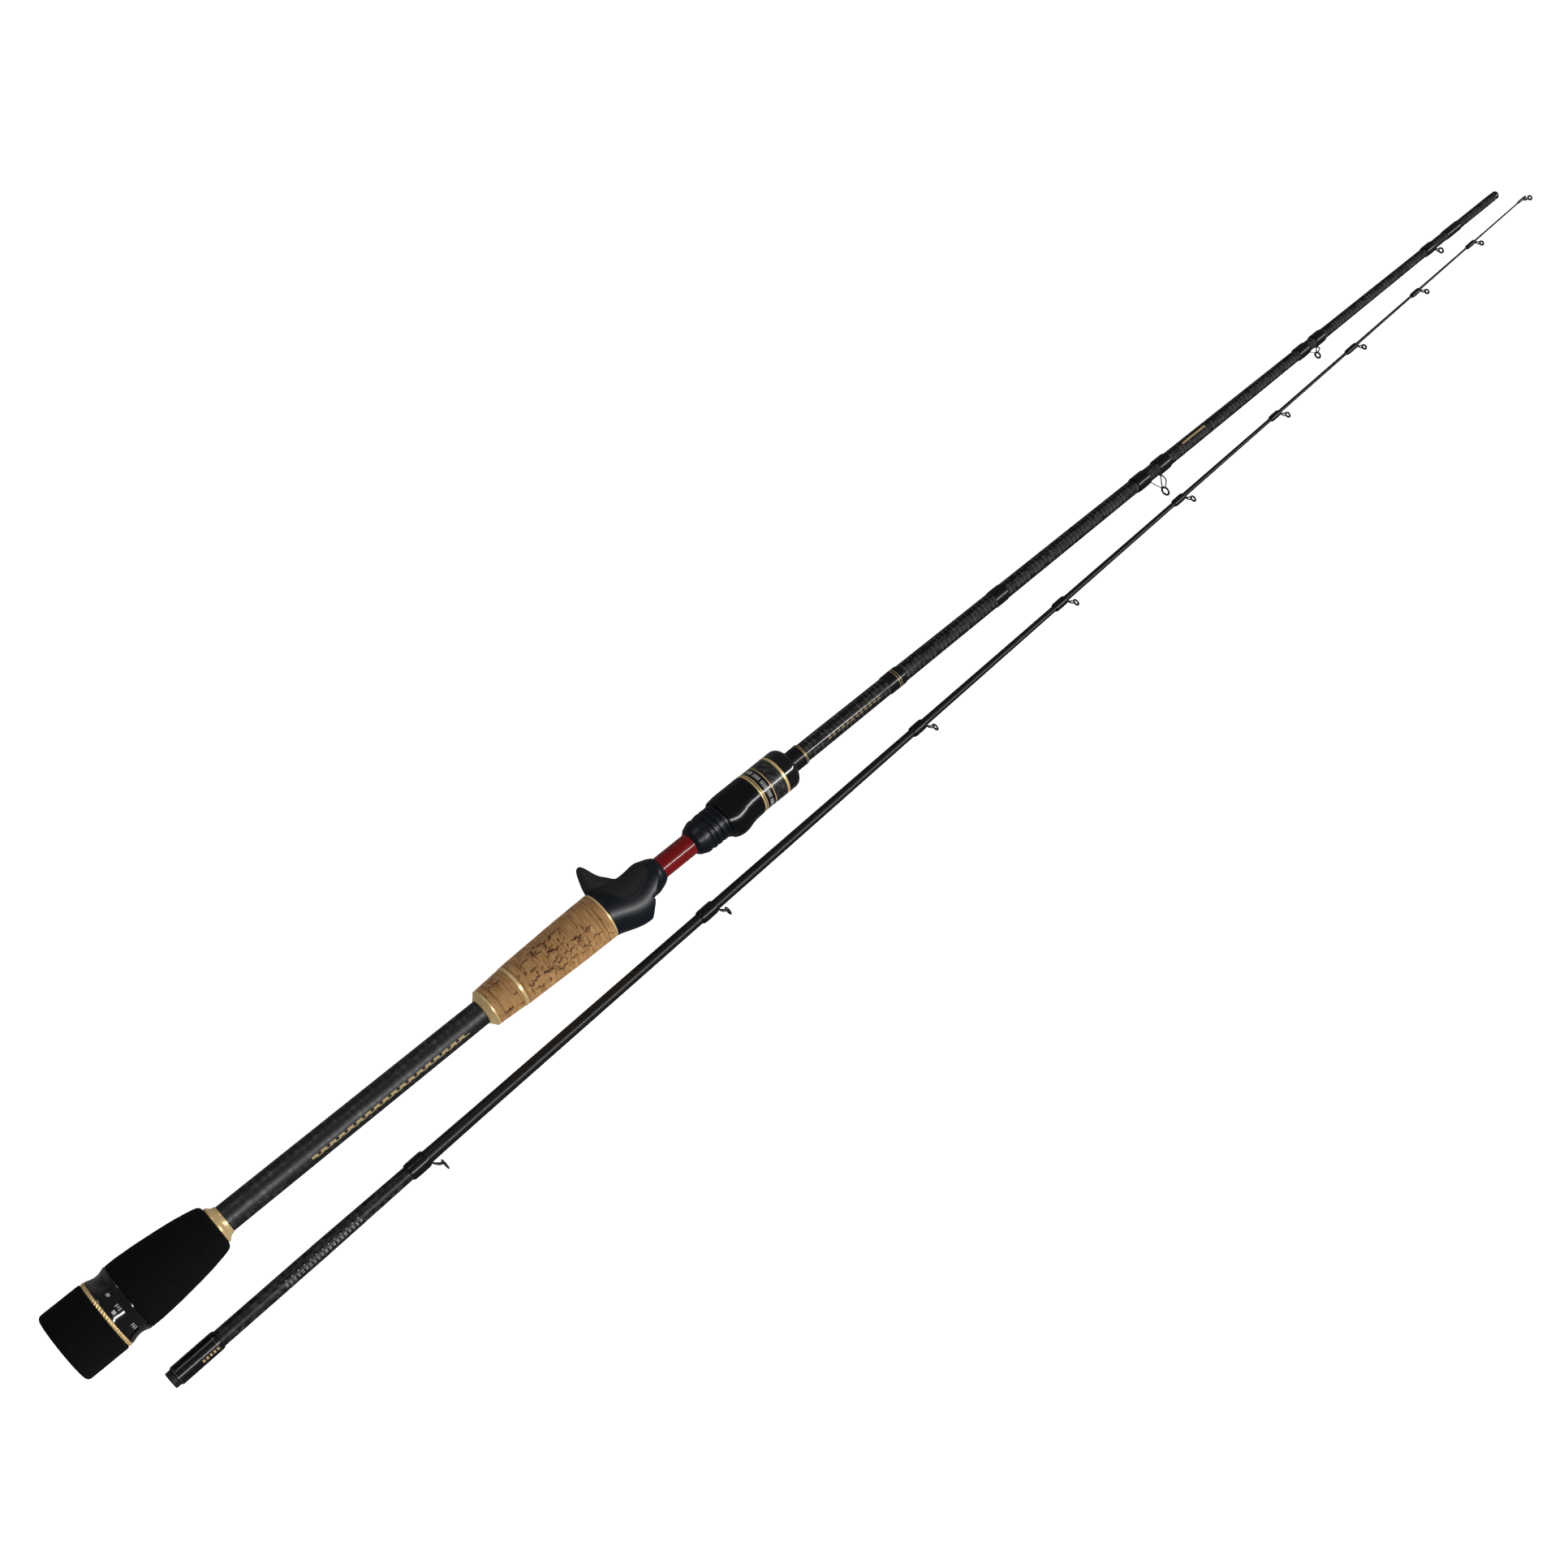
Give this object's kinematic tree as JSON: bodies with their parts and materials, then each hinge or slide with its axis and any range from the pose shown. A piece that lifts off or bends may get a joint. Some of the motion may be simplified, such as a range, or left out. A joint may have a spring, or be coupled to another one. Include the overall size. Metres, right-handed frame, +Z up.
{
  "type": "two-piece baitcasting fishing rod",
  "caption": "Two-piece baitcasting rod, taken apart: cork and foam handle, trigger reel seat with screw-locked hood, carbon blank with line guides.",
  "frame": {"origin": "middle of the footprint, on the surface that both sections lie on", "axes": "+X from the butt end towards the tips, along the length; +Z up; the trigger points to +Y and the guides to -Y"},
  "size_m": [1.1186, 0.073, 0.0352],
  "materials": {
    "eva_foam": "matt closed-cell foam",
    "gold_metal": "polished gold anodising",
    "gold_thread": "metallic thread under lacquer",
    "end_disc": "gloss moulding",
    "lacquered_collar": "deep gloss lacquer",
    "carbon_pipe": "satin woven carbon",
    "cork": "sanded cork",
    "seat_polymer": "soft-touch moulded polymer",
    "inner_polymer": "moulded polymer",
    "arbor_foam": "rigid foam",
    "red_lacquer": "candy-red gloss lacquer",
    "nut_band_ink": "gloss black with silver tick marks",
    "forged_carbon": "gloss marbled carbon",
    "gloss_cap": "polished black",
    "butt_carbon": "gloss braided carbon",
    "wrap_lacquer": "black thread under clear lacquer",
    "tip_carbon": "satin carbon",
    "rim_silver": "fine metal thread",
    "guide_metal": "polished titanium-grey wire",
    "guide_ring": "polished grey ceramic"
  },
  "bodies": {
    "butt_section": {"barrel_arbor": "arbor_foam", "butt_blank": "butt_carbon", "butt_cap": "eva_foam", "butt_collar": "lacquered_collar", "butt_end_disc": "end_disc", "butt_end_ring": "gold_metal", "butt_trim_ring": "gold_metal", "cork_divider_ring": "gold_metal", "cork_front_ring": "gold_metal", "cork_grip": "cork", "cork_rear_check": "gold_metal", "cork_ring_short": "cork", "deco_wrap": "wrap_lacquer", "deco_wrap_trims": "gold_thread", "ferrule_plug": "gloss_cap", "ferrule_wrap": "wrap_lacquer", "foregrip_wrap": "wrap_lacquer", "foregrip_wrap_trims": "gold_thread", "plain_wrap": "wrap_lacquer", "rear_grip": "eva_foam", "rear_handle_tube": "carbon_pipe", "rear_winding_check": "gold_metal", "red_blank_sleeve": "red_lacquer", "reel_seat_arbor": "arbor_foam", "reel_seat_body": "seat_polymer", "second_guide_frame": "guide_metal", "second_guide_ring": "guide_ring", "second_guide_wraps": "wrap_lacquer", "stripping_guide_frame": "guide_metal", "stripping_guide_ring": "guide_ring", "stripping_guide_wraps": "wrap_lacquer", "third_guide_frame": "guide_metal", "third_guide_ring": "guide_ring", "third_guide_wrap": "wrap_lacquer", "threaded_barrel": "seat_polymer"},
    "sliding_hood": {"sliding_hood": "seat_polymer", "hood_liner": "inner_polymer"},
    "lock_nut": {"lock_nut_core": "inner_polymer", "nut_trim_rings": "gold_metal", "nut_band": "nut_band_ink", "nut_carbon_sleeve": "forged_carbon", "nut_end_cap": "gloss_cap"},
    "tip_section": {"tip_blank": "tip_carbon", "tip_ferrule_rings": "rim_silver", "tip_ferrule_wrap": "wrap_lacquer", "tip_guide_1_frame": "guide_metal", "tip_guide_2_frame": "guide_metal", "tip_guide_3_frame": "guide_metal", "tip_guide_4_frame": "guide_metal", "tip_guide_5_frame": "guide_metal", "tip_guide_6_frame": "guide_metal", "tip_guide_7_frame": "guide_metal", "tip_guide_8_frame": "guide_metal", "tip_guide_9_frame": "guide_metal", "tip_guide_rings": "guide_ring", "tip_guide_wraps": "wrap_lacquer", "tip_top_frame": "guide_metal", "tip_top_ring": "guide_ring"}
  },
  "joints": [
    {"name": "hood_slide", "type": "slide", "parent": "butt_section", "child": "sliding_hood", "axis": [-0.9999, 0, 0.0136], "range_m": [0, 0.0175]},
    {"name": "nut_spin", "type": "hinge", "parent": "sliding_hood", "child": "lock_nut", "pos_m": [-0.13713, 0.01014, 0.01203], "axis": [-0.9999, 0, 0.0136], "range_deg": [0, 1800]},
    {"name": "tip_draw", "type": "slide", "parent": "butt_section", "child": "tip_section", "axis": [0.9997, 0.023, -0.0026], "range_m": [0, 0.045]}
  ],
  "couplings": [
    {"joint": "nut_spin", "follows": "hood_slide", "rad_per_m": 1795.2}
  ]
}
